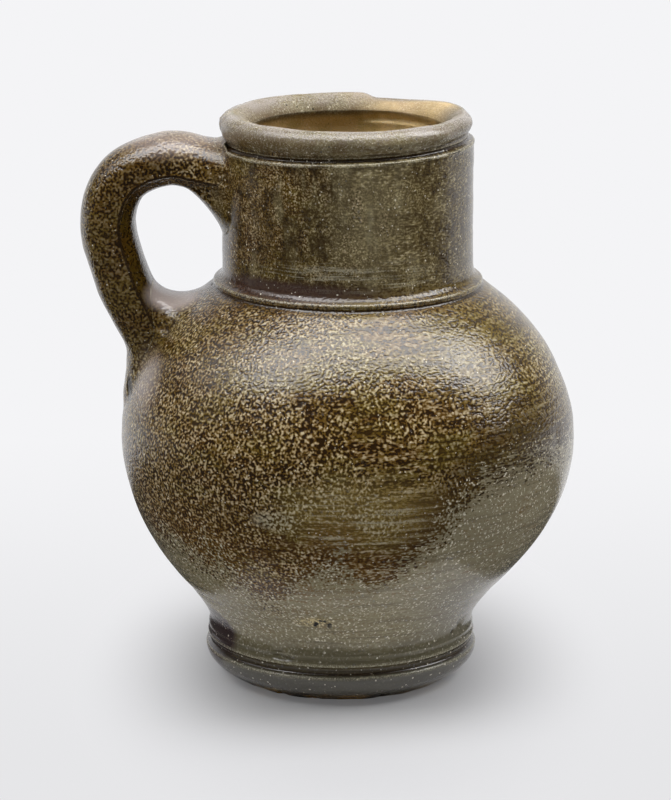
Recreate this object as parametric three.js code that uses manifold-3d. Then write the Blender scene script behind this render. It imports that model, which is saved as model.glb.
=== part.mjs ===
// Stoneware jug, salt glazed: a thrown round-bellied body with a cylindrical neck, and a pulled strap handle.
// Millimetres, +Z up. The origin is on the axis of the neck and belly, on the plane the jug stands on.
// The handle lies in the plane y = 0, on the -X side.

import * as THREE from "three";
import { mergeVertices } from "three/addons/utils/BufferGeometryUtils.js";
import Module from "manifold-3d";

const wasm = await Module();
wasm.setup();

// Foot: a flat string-cut base, a lower roll, a groove and a narrow ridge, then the waist
const baseRadius = 31.4;
const footRollRadius = 39.4;
const footRollHeight = 8.8;
const footRollPullLength = 4.2;
const grooveRadius = 38.0;
const grooveHeight = 10.6;
const ridgeRadius = 38.8;
const ridgeHeight = 12.3;
const waistRadius = 38.3;
const waistHeight = 14.6;

// Belly: the flare above the waist, the widest girth, and the shoulder under the neck
const flareRadius = 45.2;
const flareHeight = 28.5;
const flareSlope = 1.35;
const bellyRadius = 65.3;
const bellyHeight = 71.0;
const lowerBellyPullLength = 21.5;
const shoulderRadius = 40.4;
const shoulderHeight = 114.3;
// Share of the drop from girth to shoulder, and share of the radius lost by then
const shoulderShares = [
  [0.16, 0.02],
  [0.3, 0.085],
  [0.44, 0.185],
  [0.58, 0.303],
  [0.72, 0.475],
  [0.86, 0.7],
];

// Cordon: the raised ring where the neck rises from the shoulder
const cordonRadius = 38.3;
const cordonRise = 3.0;
const cordonLip = 1.3;
const cordonFall = 3.1;

// Neck and rim: a plain cylinder, a small lip and a groove, then the rounded rim roll.
// Each drop is measured down from the crest of the rim, which is the jug's height.
const neckRadius = 35.8;
const lipDrop = 8.6;
const rimGrooveRadius = 34.6;
const rimGrooveDrop = 6.3;
const rimRollRadius = 36.2;
const rimRollDrop = 3.1;
const rimCrestRadius = 32.3;
const rimCrestDrop = 0.8;
const jugHeight = 165.0;

// Inside: the bevel of the mouth ends in a ledge, and the wall drops back below it
const mouthRadius = 27.6;
const mouthBevel = 1.2;
const ledgeDrop = 4.1;
const ledgeDepth = 5.2;
const neckWall = 5.3;
const bellyWall = 5.0;
const footWall = 6.5;
const baseThickness = 7.5;
const floorRadius = 20.0;
const floorRound = 2.0;

// Old damage and making faults: the rim is worn low at the back right, and the foot sits off the axis
const rimDipDepth = 1.5;
const rimDipStart = 81;
const rimDipEnd = 20;
const rimDipStep = 7;
const rimDipThinning = 1.8;
const footOffset = 2.0;
const footOffsetTop = 62.0;

// Handle: its centreline leaves the neck under the rim, rises a little, turns down and lands on the shoulder.
// Drops at the top are from the crest of the rim, and those of the lower end from the end of the shoulder.
const handleRootDrop = 16.4;
const handleRootBury = 4.5;
const handleRootRise = 1.0;
const handleCrownDrop = 13.3;
const handleCrownReach = 15.0;
const handleElbowDrop = 18.4;
const handleElbowReach = 27.8;
const handleBackDrop = 30.5;
const handleBackReach = 32.6;
const handleKneeRise = 3.3;
const handleKneeReach = 28.9;
const handleHipDrop = 6.9;
const handleHipReach = 24.4;
const tailStartDrop = 15.7;
const tailStartProud = 7.4;
const tailMiddleDrop = 23.3;
const tailMiddleProud = 3.1;
const tailEndDrop = 33.8;
const tailEndProud = 0.4;
const tailTipDrop = 40.3;
const tailTipSink = 3.5;

// Handle section: a flattened oval, rounder outside than inside
const handleThickness = 15.8;
const tailThickness = 14.4;
const handleWidth = 21.4;
const handleRootWidth = 27.0;
const handleTailWidth = 19.0;
const rootFlareShare = 0.13;
const outerRoundness = 2.2;
const innerRoundness = 3.0;

// Luting: a wad of soft clay pressed into each inner corner of the handle and smoothed hollow with a finger
const lutingWidth = 17.4;
const lutingHollow = 2.0;
const upperLutingDrop = 17.6;
const upperLutingReach = 15.5;
const lowerLutingInset = 1.5;
const lowerLutingCling = 1.0;
const lowerLutingDrop = 1.3;
const lowerLutingRise = 6.0;

// Clearance between pieces that touch, and how finely curves are cut
const clearance = 0.3;
const bodySides = 52;
const handleSides = 18;
const handleSteps = 30;

// Heights that several features share
const cordonHeight = shoulderHeight + cordonRise;
const ledgeHeight = jugHeight - ledgeDrop;
const rootHeight = jugHeight - handleRootDrop;
const crownHeight = jugHeight - handleCrownDrop;
const tailStartHeight = shoulderHeight - tailStartDrop;
const lutingTop = shoulderHeight - lowerLutingDrop;

// Outlines are 2-D points: x is the distance from the axis and y is the height
const point = (radius, height) => new THREE.Vector2(radius, height);

// An outline moved outwards by a distance, or inwards where it is negative
function moved(outline, distance) {
  return outline.map((here, i) => {
    const before = outline[Math.max(i - 1, 0)];
    const after = outline[Math.min(i + 1, outline.length - 1)];
    const along = after.clone().sub(before).normalize();
    return point(here.x + distance * along.y, here.y - distance * along.x);
  });
}

// The belly's outside from the top of the flare, over the widest girth, to the end of the shoulder
function bellyOutline() {
  const lowerBellyRun = (bellyHeight - flareHeight) / 10;
  const lowerBelly = new THREE.CubicBezierCurve(
    point(flareRadius, flareHeight),
    point(flareRadius + lowerBellyRun, flareHeight + lowerBellyRun),
    point(bellyRadius, bellyHeight - lowerBellyPullLength),
    point(bellyRadius, bellyHeight),
  );
  const drop = shoulderHeight - bellyHeight;
  const loss = bellyRadius - shoulderRadius;
  const shoulder = new THREE.SplineCurve([
    point(bellyRadius, bellyHeight),
    ...shoulderShares.map(([down, lost]) => point(bellyRadius - lost * loss, bellyHeight + down * drop)),
    point(shoulderRadius, shoulderHeight),
  ]);
  return [...lowerBelly.getPoints(9), ...shoulder.getPoints(13).slice(1)];
}

// The outside of the body from the middle of the base to the crest of the rim
function outsideOutline() {
  const footRoll = new THREE.CubicBezierCurve(
    point(baseRadius, 0),
    point((baseRadius + footRollRadius) / 2, footRollHeight / 4),
    point(footRollRadius, footRollHeight - footRollPullLength),
    point(footRollRadius, footRollHeight),
  );
  const flareRun = (flareHeight - waistHeight) / 2;
  const flare = new THREE.CubicBezierCurve(
    point(waistRadius, waistHeight),
    point(waistRadius, waistHeight + flareRun / 2),
    point(flareRadius - flareSlope * flareRun / 2, flareHeight - flareRun / 2),
    point(flareRadius, flareHeight),
  );
  const cordon = new THREE.SplineCurve([
    point(shoulderRadius, shoulderHeight),
    point(cordonRadius, cordonHeight - cordonLip),
    point(cordonRadius, cordonHeight),
    point((cordonRadius + 2 * neckRadius) / 3, cordonHeight + cordonFall / 2),
    point(neckRadius, cordonHeight + cordonFall),
  ]);
  const rim = new THREE.SplineCurve([
    point(neckRadius, jugHeight - lipDrop),
    point(rimGrooveRadius, jugHeight - rimGrooveDrop),
    point(neckRadius, jugHeight - (rimGrooveDrop + rimRollDrop) / 2),
    point(rimRollRadius, jugHeight - rimRollDrop),
    point((2 * rimRollRadius + rimCrestRadius) / 3, jugHeight - rimCrestDrop),
    point(rimCrestRadius, jugHeight),
  ]);
  return [
    point(0, 0),
    ...footRoll.getPoints(6),
    point(grooveRadius, grooveHeight),
    point(ridgeRadius, ridgeHeight),
    ...flare.getPoints(5),
    ...bellyOutline().slice(1),
    ...cordon.getPoints(6).slice(1),
    ...rim.getPoints(9),
  ];
}

// The inside of the body from the crest of the rim down to the middle of the floor
function insideOutline() {
  const neckInside = neckRadius - neckWall;
  const mouth = new THREE.QuadraticBezierCurve(
    point(rimCrestRadius, jugHeight),
    point(mouthRadius + mouthBevel, jugHeight - rimCrestDrop * 2),
    point(mouthRadius, ledgeHeight),
  );
  const belly = moved(bellyOutline(), -bellyWall).reverse();
  const last = belly[belly.length - 1];
  const bowl = new THREE.QuadraticBezierCurve(
    last,
    point(waistRadius - footWall, baseThickness + floorRound),
    point(floorRadius, baseThickness),
  );
  return [
    ...mouth.getPoints(4).slice(1),
    point(neckInside, ledgeHeight - ledgeDepth),
    point(neckInside, cordonHeight),
    ...belly.filter((here, i) => i % 2 === 0),
    ...bowl.getPoints(5).slice(1),
    point(0, baseThickness),
  ];
}

// How far the wall moves towards the handle at a height: nothing above the belly, the whole offset at the foot
function footShift(height) {
  return -footOffset * (1 - THREE.MathUtils.smoothstep(height, waistHeight, footOffsetTop));
}

// How much of the rim's dip lies at a place: a sharp step at its start, then a slow rise to its end
function rimDip(x, y) {
  const bearing = THREE.MathUtils.radToDeg(Math.atan2(y, x));
  const step = 1 - THREE.MathUtils.smoothstep(bearing, rimDipStart - rimDipStep, rimDipStart);
  return step * THREE.MathUtils.smoothstep(bearing, rimDipEnd, rimDipStart - rimDipStep);
}

// Turns an outline about the axis, then stands it up along +Z
function turned(outline) {
  const geometry = new THREE.LatheGeometry(outline, bodySides);
  geometry.rotateX(Math.PI / 2);
  return geometry;
}

// Moves every vertex of a geometry by a function of its place
function bent(geometry, move) {
  const position = geometry.attributes.position;
  const place = new THREE.Vector3();
  for (let i = 0; i < position.count; i += 1) {
    place.fromBufferAttribute(position, i);
    move(place);
    position.setXYZ(i, place.x, place.y, place.z);
  }
  return geometry;
}

// A closed geometry as a solid that can be cut and joined
function solid(geometry) {
  const bare = geometry.clone();
  bare.deleteAttribute("normal");
  bare.deleteAttribute("uv");
  const joined = mergeVertices(bare, 1e-4);
  const vertProperties = new Float32Array(joined.attributes.position.array);
  const triVerts = new Uint32Array(joined.index.array);
  return new wasm.Manifold(new wasm.Mesh({ numProp: 3, vertProperties, triVerts }));
}

// A solid as a named mesh
function named(name, shape, material) {
  const mesh = shape.getMesh();
  const geometry = new THREE.BufferGeometry();
  geometry.setAttribute("position", new THREE.BufferAttribute(new Float32Array(mesh.vertProperties), 3));
  geometry.setIndex(new THREE.BufferAttribute(new Uint32Array(mesh.triVerts), 1));
  geometry.computeVertexNormals();
  const piece = new THREE.Mesh(geometry, material);
  piece.name = name;
  return piece;
}

// The body with its cavity: rim dip and foot offset are moved into the turned wall
function bodySolid() {
  const wall = turned([...outsideOutline(), ...insideOutline()]);
  return solid(bent(wall, (place) => {
    const radius = Math.hypot(place.x, place.y);
    const dip = rimDip(place.x, place.y);
    const high = THREE.MathUtils.smoothstep(place.z, ledgeHeight - ledgeDepth / 2, jugHeight);
    if (radius > 0 && radius < rimCrestRadius && place.z > ledgeHeight - ledgeDepth / 2) {
      const wider = 1 + dip * rimDipThinning / radius;
      place.x *= wider;
      place.y *= wider;
    }
    place.x += footShift(place.z);
    place.z -= dip * rimDipDepth * high;
  }));
}

// The space that the body takes up, filled and a little larger, which cuts whatever is stuck on it
function bodySpace() {
  const grown = moved(outsideOutline(), clearance);
  grown[0].x = 0;
  grown.push(point(0, jugHeight + clearance));
  return solid(bent(turned(grown), (place) => {
    place.x += footShift(place.z);
  }));
}

// The body's outside radius at a height on the shoulder or belly
function surfaceRadius(height) {
  const outline = outsideOutline();
  const next = outline.findIndex((here, i) => i > 1 && here.y >= height);
  const low = outline[next - 1];
  const high = outline[next];
  return THREE.MathUtils.mapLinear(height, low.y, high.y, low.x, high.x);
}

// A point of the handle's plane, at a distance from the axis
const handlePoint = (radius, height) => new THREE.Vector3(-radius, 0, height);

// A centreline point of the tail, whose back stands proud of the belly
function tailPoint(drop, proud) {
  const height = shoulderHeight - drop;
  return handlePoint(surfaceRadius(height) + proud - tailThickness / 2, height);
}

const handleLine = new THREE.CatmullRomCurve3([
  handlePoint(neckRadius - handleRootBury, rootHeight),
  handlePoint(neckRadius + handleRootBury, rootHeight + handleRootRise),
  handlePoint(neckRadius + handleCrownReach, crownHeight),
  handlePoint(neckRadius + handleElbowReach, jugHeight - handleElbowDrop),
  handlePoint(neckRadius + handleBackReach, jugHeight - handleBackDrop),
  handlePoint(neckRadius + handleKneeReach, shoulderHeight + handleKneeRise),
  handlePoint(neckRadius + handleHipReach, shoulderHeight - handleHipDrop),
  tailPoint(tailStartDrop, tailStartProud),
  tailPoint(tailMiddleDrop, tailMiddleProud),
  tailPoint(tailEndDrop, tailEndProud),
  tailPoint(tailTipDrop, -tailTipSink),
], false, "centripetal");

// The handle as a tube bent along its centreline, grown by a gap when it cuts its neighbours
function handleSolid(gap) {
  const tube = new THREE.CylinderGeometry(1, 1, 1, handleSides, handleSteps);
  return solid(bent(tube, (place) => {
    const along = place.y + 0.5;
    const middle = handleLine.getPointAt(along);
    const tangent = handleLine.getTangentAt(along);
    const outward = new THREE.Vector3(-tangent.z, 0, tangent.x);
    const size = Math.hypot(place.x, place.z);
    const flare = 1 - THREE.MathUtils.smoothstep(along, 0, rootFlareShare);
    const taper = THREE.MathUtils.smoothstep(along, 0.6, 1);
    const narrowed = THREE.MathUtils.lerp(handleWidth, handleTailWidth, taper);
    const width = THREE.MathUtils.lerp(narrowed, handleRootWidth, flare);
    const thickness = THREE.MathUtils.lerp(handleThickness, tailThickness, taper);
    const roundness = 2 / (place.x > 0 ? outerRoundness : innerRoundness);
    const bow = (share) => Math.sign(share) * Math.abs(share) ** roundness * size;
    const across = bow(place.z / (size || 1)) * (width / 2 + gap);
    const out = bow(place.x / (size || 1)) * (thickness / 2 + gap);
    place.copy(middle).addScaledVector(outward, out);
    place.y = across;
  }));
}

// A wad of clay: an outline in the handle's plane, nearly as wide as the handle
function wad(outline) {
  const geometry = new THREE.ExtrudeGeometry(outline, {
    depth: lutingWidth,
    curveSegments: 8,
    bevelEnabled: false,
  });
  geometry.translate(0, 0, -lutingWidth / 2);
  geometry.rotateX(Math.PI / 2);
  return solid(geometry);
}

// The stretch of the handle's centreline that a wad is pressed against, as points of its outline
function centreline(holds) {
  const middle = handleLine.getSpacedPoints(handleSteps * 2);
  return middle.filter(holds).map((here) => new THREE.Vector2(here.x, here.z));
}

// The upper wad fills the corner under the handle's root, against the neck
function upperWad() {
  const low = rootHeight - upperLutingDrop;
  const high = crownHeight - handleThickness / 2;
  const reach = neckRadius + upperLutingReach;
  const root = centreline((here) => here.x > -reach && here.z > high);
  const outline = new THREE.Shape();
  outline.moveTo(root[0].x, low);
  root.forEach((here) => outline.lineTo(here.x, here.y));
  outline.lineTo(-reach, high);
  outline.quadraticCurveTo(-(neckRadius + upperLutingReach / 3), high - lutingHollow, -neckRadius, low);
  return wad(outline);
}

// The lower wad is the saddle between the shoulder and the inner side of the handle
function lowerWad() {
  const inner = shoulderRadius + lowerLutingInset;
  const outer = neckRadius + handleKneeReach - handleThickness / 2 - lowerLutingCling;
  const rise = lutingTop + lowerLutingRise;
  const hip = centreline((here) => here.z < rise && here.z > tailStartHeight);
  const outline = new THREE.Shape();
  outline.moveTo(-inner, lutingTop);
  outline.quadraticCurveTo(-(inner + outer + 2 * lutingHollow) / 2, lutingTop - lutingHollow / 2, -outer, rise);
  hip.forEach((here) => outline.lineTo(here.x, here.y));
  outline.lineTo(-inner, tailStartHeight);
  return wad(outline);
}

// Finishes: brown mottled salt glaze, darker on the handle
const bodyGlaze = new THREE.MeshStandardMaterial({ color: 0x6b6148, roughness: 0.38, metalness: 0 });
const handleGlaze = new THREE.MeshStandardMaterial({ color: 0x5a4a34, roughness: 0.42, metalness: 0 });
const lutingGlaze = new THREE.MeshStandardMaterial({ color: 0x6d5c4e, roughness: 0.45, metalness: 0 });

const bodyCutter = bodySpace();
const handleCutter = handleSolid(clearance);

const jug = new THREE.Group();
jug.add(named("thrown_body", bodySolid(), bodyGlaze));
jug.add(named("handle", handleSolid(0).subtract(bodyCutter), handleGlaze));
jug.add(named("upper_handle_luting", upperWad().subtract(bodyCutter).subtract(handleCutter), lutingGlaze));
jug.add(named("lower_handle_luting", lowerWad().subtract(bodyCutter).subtract(handleCutter), lutingGlaze));

export default jug;
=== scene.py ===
# %% [markdown]
# # A salt-glazed stoneware jug
# The jug is thrown on a wheel from grey clay, and a strap handle is stuck on while the clay is still damp.
# In the kiln, salt is thrown on the fire, and its vapour turns the skin of the clay to glass.
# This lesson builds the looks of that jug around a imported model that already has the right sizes.

import math
from bisect import bisect_right

import bmesh
import bpy
from mathutils import Matrix, Vector, noise


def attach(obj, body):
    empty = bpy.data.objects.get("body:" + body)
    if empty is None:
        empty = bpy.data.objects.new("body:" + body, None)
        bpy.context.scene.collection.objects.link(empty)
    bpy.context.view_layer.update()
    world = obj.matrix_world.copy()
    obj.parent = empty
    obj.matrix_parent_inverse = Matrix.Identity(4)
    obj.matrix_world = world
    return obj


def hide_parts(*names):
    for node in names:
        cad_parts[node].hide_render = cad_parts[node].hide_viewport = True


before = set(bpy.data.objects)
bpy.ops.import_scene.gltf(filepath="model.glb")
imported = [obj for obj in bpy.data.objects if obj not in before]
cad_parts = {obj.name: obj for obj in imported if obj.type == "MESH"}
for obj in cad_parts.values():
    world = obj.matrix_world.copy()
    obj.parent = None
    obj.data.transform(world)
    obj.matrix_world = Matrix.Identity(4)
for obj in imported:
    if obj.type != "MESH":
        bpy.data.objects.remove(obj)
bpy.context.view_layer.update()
print("nodes in the frame:", sorted(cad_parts))

# %% [markdown]
# ## Units and curves
# Blender works in metres, but a potter thinks in millimetres, so every size here is a millimetre value.
# Two kinds of curve are enough: a Bezier curve for one clean sweep, and a spline through chosen points.

# %% Curves
MM = 0.001
LEAST_GAP = 1e-4


def curve_point(corners, share):
    """A point of a Bezier curve, found by sliding along its corner lines again and again."""
    row = [Vector(corner) for corner in corners]
    while len(row) > 1:
        row = [a.lerp(b, share) for a, b in zip(row, row[1:])]
    return row[0]


def bezier(corners, steps):
    """Points along a Bezier curve, one for each step."""
    return [curve_point(corners, i / steps) for i in range(steps + 1)]


def spline(knots, steps):
    """Points along a smooth curve through every knot, with the same number of steps in each stretch."""
    knots = [Vector(knot) for knot in knots]
    ends = [2 * knots[0] - knots[1], 2 * knots[-1] - knots[-2]]
    rail = [ends[0], *knots, ends[1]]
    points = [knots[0]]
    for before, start, end, after in zip(rail, rail[1:], rail[2:], rail[3:]):
        pairs = ((before, start), (start, end), (end, after))
        gaps = [max(math.sqrt((b - a).length), LEAST_GAP) for a, b in pairs]
        leave = (start - before) / gaps[0] - (end - before) / (gaps[0] + gaps[1]) + (end - start) / gaps[1]
        arrive = (end - start) / gaps[1] - (after - start) / (gaps[1] + gaps[2]) + (after - end) / gaps[2]
        for i in range(1, steps + 1):
            t = i / steps
            points.append(
                start * (2 * t**3 - 3 * t**2 + 1)
                + leave * gaps[1] * (t**3 - 2 * t**2 + t)
                + end * (3 * t**2 - 2 * t**3)
                + arrive * gaps[1] * (t**3 - t**2)
            )
    return points


def smooth(low, high, value):
    """A soft step from 0 at low to 1 at high. It runs downwards if low is above high."""
    share = min(max((value - low) / (high - low), 0.0), 1.0)
    return share * share * (3 - 2 * share)


print("a soft step from 0 to 1, halfway up:", smooth(0, 1, 0.5))

# %% [markdown]
# ## The outline of the wall
# A thrown pot is round, so its whole shape is one outline turned about the axis.
# It could be lofted from rings or sculpted, but an outline keeps every roll and groove where it was
# measured. Each point is a distance from the axis and a height. The outline starts under the base, climbs
# the outside, rolls over the rim and comes down the inside to the middle of the floor.
# The foot is a fat roll, a groove and two faint ridges, from which the wall flares into the belly.

# %% Foot and belly
BASE_RADIUS = 30.2
BEVEL_TOP = (32.1, 0.8)
FOOT_ROLL_TOP = (39.4, 8.8)
GROOVE_TOP = (38.8, 12.4)
WAIST = (38.3, 16.8)
FLARE = (45.2, 28.5)
GIRTH = (65.3, 71)
SHOULDER_END = (40.4, 114.3)

base = bezier([(0, 0), (BASE_RADIUS, 0)], 12)
base_edge = spline([(BASE_RADIUS, 0), (31.3, 0.25), BEVEL_TOP], 3)
foot_roll = bezier([BEVEL_TOP, (35.9, 3), (39.3, 5.2), FOOT_ROLL_TOP], 16)
foot_groove = spline([FOOT_ROLL_TOP, (39.25, 9.3), (38.2, 9.9), (37.9, 10.9), (38.2, 11.8), GROOVE_TOP], 4)
foot_ridges = spline(
    [GROOVE_TOP, (38.8, 13), (38.5, 13.8), (38.45, 14.5), (38.55, 15.2), (38.45, 15.9), WAIST], 3
)
flare = bezier([WAIST, (38.3, 19.5), (40.9, 23.2), FLARE], 14)
lower_belly = bezier([FLARE, (49.6, 33.1), (65.3, 49.5), GIRTH], 38)
shoulder_knots = [(64.8, 77.9), (63.2, 84), (60.7, 90.1), (57.8, 96.1), (53.5, 102.2), (47.9, 108.2)]
shoulder = spline([GIRTH, *shoulder_knots, SHOULDER_END], 6)
print("girth:", 2 * GIRTH[0], "mm, at a height of", GIRTH[1], "mm")

# %% [markdown]
# ## Cordon, neck and rim
# The cordon is a raised line that hides where the shoulder turns into the neck. The neck is a plain
# cylinder, and the rim is its top edge, folded out and rolled. A spline suits the small rolls, because it
# goes through every measured point, and a straight stretch is enough for the neck.

# %% Cordon, neck and rim
NECK_RADIUS = 35.8
NECK_START = (NECK_RADIUS, 121)
NECK_END = (NECK_RADIUS, 155.9)
LIP_END = (34.6, 158.8)
RIM_CREST = (32.3, 165)
MOUTH_EDGE = (27.6, 160.6)
LEDGE_END = (30.5, 152)

cordon = spline(
    [SHOULDER_END, (38.4, 115.5), (38.5, 116.4), (38.35, 117.2), (37, 118), (36.1, 119.2), NECK_START], 5
)
neck = bezier([NECK_START, NECK_END], 34)
lip = spline([NECK_END, (36, 156.8), (35.75, 157.3), (34.3, 157.8), (34.2, 158.3), LIP_END], 4)
rim_roll = spline(
    [LIP_END, (34.9, 159.6), (35.75, 160.7), (36.2, 162), (35.9, 163.3), (34.6, 164.6), RIM_CREST], 5
)
rim_bevel = spline([RIM_CREST, (30.6, 164.4), (29, 163), (28, 161.6), MOUTH_EDGE], 5)
ledge = spline([MOUTH_EDGE, (27.9, 159.8), (29.2, 158.2), (30.2, 155.6), LEDGE_END], 4)
print("height:", RIM_CREST[1], "mm")

# %% [markdown]
# ## The inside
# The potter's hand inside follows the hand outside, so the inner wall is the outer one moved in by the
# thickness of the wall. A Solidify modifier could do that, but it would thicken the rolls as well.

# %% Inside
WALL = 5.0
BASE_THICKNESS = 7.5
FLOOR_RADIUS = 20.0
NECK_FOOT_INSIDE = (LEDGE_END[0], 117.5)
SAME_POINT = 0.05


def moved_in(points, distance):
    """The same stretch of outline, moved inwards square to itself."""
    inner = []
    for i, here in enumerate(points):
        along = (points[min(i + 1, len(points) - 1)] - points[max(i - 1, 0)]).normalized()
        inner.append(Vector((here.x - distance * along.y, here.y + distance * along.x)))
    return inner


belly_inside = moved_in(lower_belly + shoulder[1:], WALL)[::-3]
neck_inside = bezier([LEDGE_END, NECK_FOOT_INSIDE], 14)
bowl = bezier([belly_inside[-1], (31.8, 9.5), (FLOOR_RADIUS, BASE_THICKNESS)], 14)
floor_inside = bezier([(FLOOR_RADIUS, BASE_THICKNESS), (0, BASE_THICKNESS)], 8)

outside = [foot_roll, foot_groove, foot_ridges, flare, lower_belly, shoulder, cordon, neck, lip, rim_roll]
inside = [rim_bevel, ledge, neck_inside, belly_inside, bowl, floor_inside]
outline = list(base)
for stretch in [base_edge, *outside, *inside]:
    near = (stretch[0] - outline[-1]).length < SAME_POINT
    outline += stretch[1:] if near else stretch
OUTSIDE_POINTS = [point for stretch in outside for point in stretch]
OUTSIDE_HEIGHTS = [point.y for point in OUTSIDE_POINTS]
print("the outline has", len(outline), "points")

# %% [markdown]
# ## What the wheel, the kiln and the years did
# A turned solid looks machine-made. On the real jug the foot sits a little off the axis, the wall wobbles,
# the fingers left rings, the rim is worn low at the back right, and grit and knocks left chips.
# Each of them moves the points of the wall by a function of their place.

# %% Strength of each trace, in millimetres
FOOT_OFFSET = 2.0
WOBBLE = 0.16
FINE_RINGS = 0.05
NECK_RINGS = 0.07
BROAD_RINGS = 0.12
RIM_WAVE = 0.3
RIM_LIFT = 0.35
RIM_DIP = 1.5
RIM_WEAR = 0.9
DIP_SLOPE = 1.8
GROOVE_TILT = 2.0
RAGGED_BASE = 0.25
LIP_HEIGHT = 157

# Chips, press marks and a crack: bearing in degrees from the right-hand side, height, radius across and
# depth in millimetres. A depth below 0 is a lump.
CHIPS = [
    (-118, 15, 2.4, 0.9),
    (-113, 14.2, 1.6, 0.7),
    (-99, 27.5, 2, 0.5),
    (-94, 26.7, 1.4, 0.45),
    (-28, 19.4, 2.6, 0.8),
    (-33, 17.6, 1.6, 0.6),
    (-69, 1.6, 1.7, 1),
    (-104, 0.8, 2.4, 1.1),
    (-122, 0.9, 2, 1),
    (-140, 1, 2.2, 0.8),
    (150, 0.9, 2.6, 1),
    (60, 1.1, 2.2, 0.9),
    (176, 163.2, 2.2, 0.8),
    (166, 164.4, 1.8, 0.7),
    (-176, 161.8, 1.5, 0.5),
    (152, 164.4, 1.3, 0.5),
    (112, 164.6, 1.2, 0.5),
    (178, 162.6, 3.4, -0.5),
    (168, 162, 2, 0.6),
    (-170, 163.6, 1.6, 0.5),
    (-24.6, 78.5, 1.5, 0.45),
    (-24.8, 76, 1.7, 0.5),
    (-25, 73.5, 1.5, 0.4),
    (-81, 95.5, 1.1, 0.35),
    (-82.2, 94.2, 1.1, 0.4),
    (-82.6, 92.6, 1.1, 0.4),
    (-82, 91, 1, 0.4),
    (-81.2, 89.6, 0.9, 0.35),
    (-79.5, 90.2, 0.8, 0.3),
    (-6, 161, 1.6, 0.45),
    (-2, 141, 1.4, 0.4),
]
print("chips and marks:", len(CHIPS))

# %% [markdown]
# ## Moving the points
# Noise moves the wall in slow waves, and the finger rings are the same noise stretched round the pot.
# A chip is a small round bowl. A sculpted mesh could look as real, but a function can be changed and run
# again.

# %% Wobble, rings and chips


def rim_dip(bearing):
    """How much of the dip lies at a bearing: a sharp step where it starts, then a slow rise."""
    return smooth(83, 75, bearing) * smooth(18, 70, bearing)


def ripple(place, low, stretch):
    """A slow random wave in the wall, longer round the pot than up it."""
    return noise.noise(Vector((place.x / stretch, place.y / stretch, place.z / low)))


def wall_radius(height):
    """The outside radius of the turned wall at a height."""
    index = min(max(bisect_right(OUTSIDE_HEIGHTS, height), 1), len(OUTSIDE_POINTS) - 1)
    low, high = OUTSIDE_POINTS[index - 1], OUTSIDE_POINTS[index]
    share = (height - low.y) / max(high.y - low.y, 1e-6)
    return low.x + (high.x - low.x) * min(max(share, 0.0), 1.0)


def finger_rings(place):
    """The rings that the fingers left, finest on the neck."""
    fingers = smooth(20, 30, place.z) * smooth(LIP_HEIGHT, 150, place.z)
    on_neck = smooth(117, 124, place.z)
    fine = fingers * (FINE_RINGS + NECK_RINGS * on_neck) * ripple(place, 2.6, 60)
    return fine + fingers * BROAD_RINGS * ripple(place, 9.0, 90)


def chipped(place, radius, bearing, z):
    """How deep the chips go at a point whose height is now z."""
    lost = 0.0
    for chip_bearing, height, across, depth in CHIPS:
        if abs(z - height) > across:
            continue
        turn = math.radians((bearing - chip_bearing + 180) % 360 - 180) * radius
        far = math.hypot(turn, z - height) / across
        if far < 1:
            rough = 0.75 + 0.5 * noise.noise(place * 1.3)
            lost += depth * rough * (1 - far * far) ** 1.5
    return lost


def weathered(place):
    """Where a point of the turned wall ends up, in millimetres."""
    radius = math.hypot(place.x, place.y)
    if radius < SAME_POINT / 5:
        return Vector((-FOOT_OFFSET, 0, place.z))
    bearing = math.degrees(math.atan2(place.y, place.x))
    around = Vector((place.x / radius, place.y / radius, 0))
    z = place.z
    is_outside = z < 1 or radius > wall_radius(z) - 1.5
    out = WOBBLE * ripple(place, 40, 45)
    if is_outside and z > 2:
        out += finger_rings(place)
    if z > LIP_HEIGHT:
        out += RIM_WAVE * ripple(place, 3.0, 7.0)
        z += RIM_LIFT * noise.noise(Vector((around.x * 2.4, around.y * 2.4, 3.7))) * smooth(158, 163, z)
    if z < 1.5 and radius > 26:
        z += RAGGED_BASE * smooth(28, 31, radius) * max(0.5 + ripple(place, 3.0, 5.0), 0.0)
    if is_outside:
        out -= chipped(place, radius, bearing, z)
    dip = rim_dip(bearing)
    high = smooth(159.5, 165, z)
    if z > LIP_HEIGHT:
        out += DIP_SLOPE * dip * smooth(35.0, 31.5, radius)
        worn = smooth(55, 20, abs(bearing)) * smooth(157.5, 160.5, z) * smooth(33, 35, radius)
        out -= RIM_WEAR * worn
    groove = smooth(148, 156, place.z) * smooth(163.5, 159.5, place.z)
    z -= RIM_DIP * dip * high
    if radius > NECK_RADIUS - 3:
        z -= GROOVE_TILT * groove * (1 - around.x) / 2
    foot = -FOOT_OFFSET * smooth(62, 15, place.z)
    return Vector((place.x + around.x * out + foot, place.y + around.y * out, z))


print("wall radius halfway up:", round(wall_radius(RIM_CREST[1] / 2), 1), "mm")

# %% [markdown]
# ## The thrown body
# The outline is a chain of edges, and a full spin about the axis turns it into the wall.
# The spin closes on itself, so the seam and the two poles are merged before the wall is weathered.

# %% Turn the body
TURNS = 256


def note_hollows(clay):
    """Keeps on every point how hollow the surface is there, in parts of a millimetre of curve."""
    clay.normal_update()
    layer = clay.verts.layers.float.new("hollow")
    for vert in clay.verts:
        bend = 0.0
        for edge in vert.link_edges:
            other = edge.other_vert(vert)
            away = other.co - vert.co
            bend -= (other.normal - vert.normal).dot(away) / away.length_squared
        vert[layer] = bend / len(vert.link_edges)


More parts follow.
